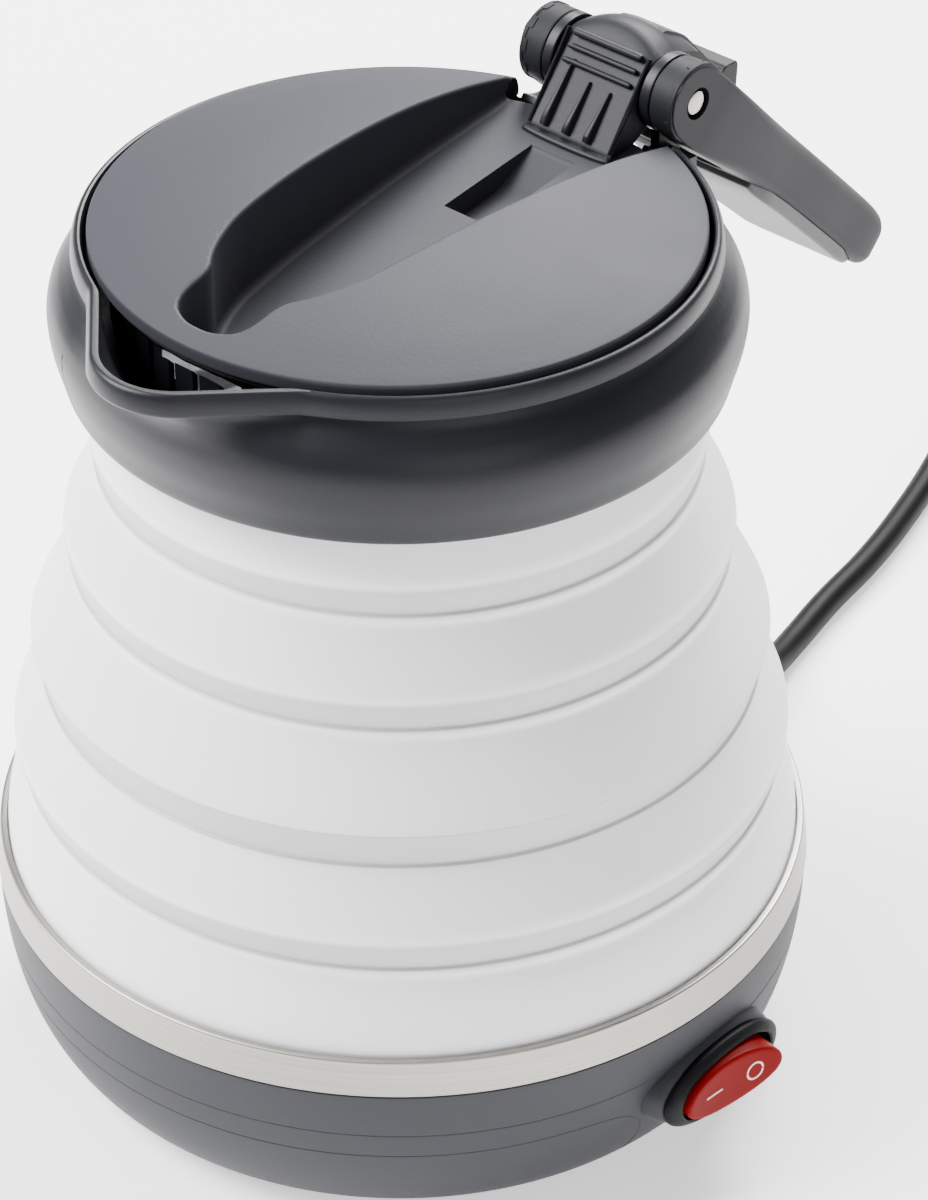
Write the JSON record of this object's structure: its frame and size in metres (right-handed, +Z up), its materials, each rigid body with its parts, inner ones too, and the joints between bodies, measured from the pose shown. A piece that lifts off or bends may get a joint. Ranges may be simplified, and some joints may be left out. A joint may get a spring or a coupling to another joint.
{
  "type": "collapsible electric kettle",
  "caption": "Travel kettle with a silicone bellows body that folds down, a folding handle, a hinged lid, a spout and a rocker switch on its heater base.",
  "frame": {"origin": "centre of the base at table level", "axes": "+Z up, -Y towards the spout, +Y towards the hinge, the handle and the cord, +X towards the switch"},
  "size_m": [0.1576, 0.396, 0.1804],
  "materials": {
    "base_grey": "fine matt grey polypropylene",
    "collar_grey": "fine matt dark grey polypropylene",
    "lid_grey": "fine matt mid grey polypropylene",
    "handle_grey": "fine matt dark grey polypropylene",
    "cover_grey": "smooth light grey polypropylene",
    "white_silicone": "satin translucent white silicone",
    "brushed_steel": "brushed round the base",
    "plated_steel": "bright plated",
    "black_plastic": "matt black",
    "red_plastic": "satin red with white marks",
    "black_rubber": "matt black"
  },
  "bodies": {
    "base": {"base_shell": "base_grey", "base_plate": "base_grey", "foot_pad_1": "black_rubber", "foot_pad_2": "black_rubber", "foot_pad_3": "black_rubber", "base_screw_1": "plated_steel", "base_screw_2": "plated_steel", "base_screw_3": "plated_steel", "steel_band": "brushed_steel", "heater_pan": "brushed_steel", "heating_element": "brushed_steel", "thermal_cutout": "black_plastic", "switch_housing": "black_plastic", "strain_relief": "black_rubber", "cord_run": "black_rubber", "cord_coil": "black_rubber", "plug_body": "black_rubber", "plug_pin_left": "plated_steel", "plug_pin_right": "plated_steel", "bellows_lower": "white_silicone"},
    "fold_ring": {"bellows_ring": "white_silicone", "bellows_upper": "white_silicone"},
    "collar": {"collar_ring": "collar_grey", "bellows_clamp": "collar_grey", "hinge_pin": "plated_steel"},
    "lid": {"lid_cover": "lid_grey", "lid_strainer": "collar_grey", "lid_seal": "black_rubber"},
    "handle": {"handle_frame": "handle_grey", "handle_cover": "cover_grey"},
    "rocker": {"switch_rocker": "red_plastic"}
  },
  "joints": [
    {"name": "lower_fold", "type": "slide", "parent": "base", "child": "fold_ring", "axis": [0, 0, 1], "range_m": [-0.032, 0], "deforming": ["bellows_lower"]},
    {"name": "upper_fold", "type": "slide", "parent": "fold_ring", "child": "collar", "axis": [0, 0, 1], "range_m": [-0.043, 0], "deforming": ["bellows_upper"]},
    {"name": "lid_open", "type": "hinge", "parent": "collar", "child": "lid", "pos_m": [0, 0.0583, 0.1711], "axis": [1, 0, 0], "range_deg": [-50, 0]},
    {"name": "handle_fold", "type": "hinge", "parent": "collar", "child": "handle", "pos_m": [0, 0.0583, 0.1711], "axis": [1, 0, 0], "range_deg": [0, 229]},
    {"name": "switch_rock", "type": "hinge", "parent": "base", "child": "rocker", "pos_m": [0.0749, 0, 0.0204], "axis": [0, 0, 1], "range_deg": [0, 16]}
  ]
}
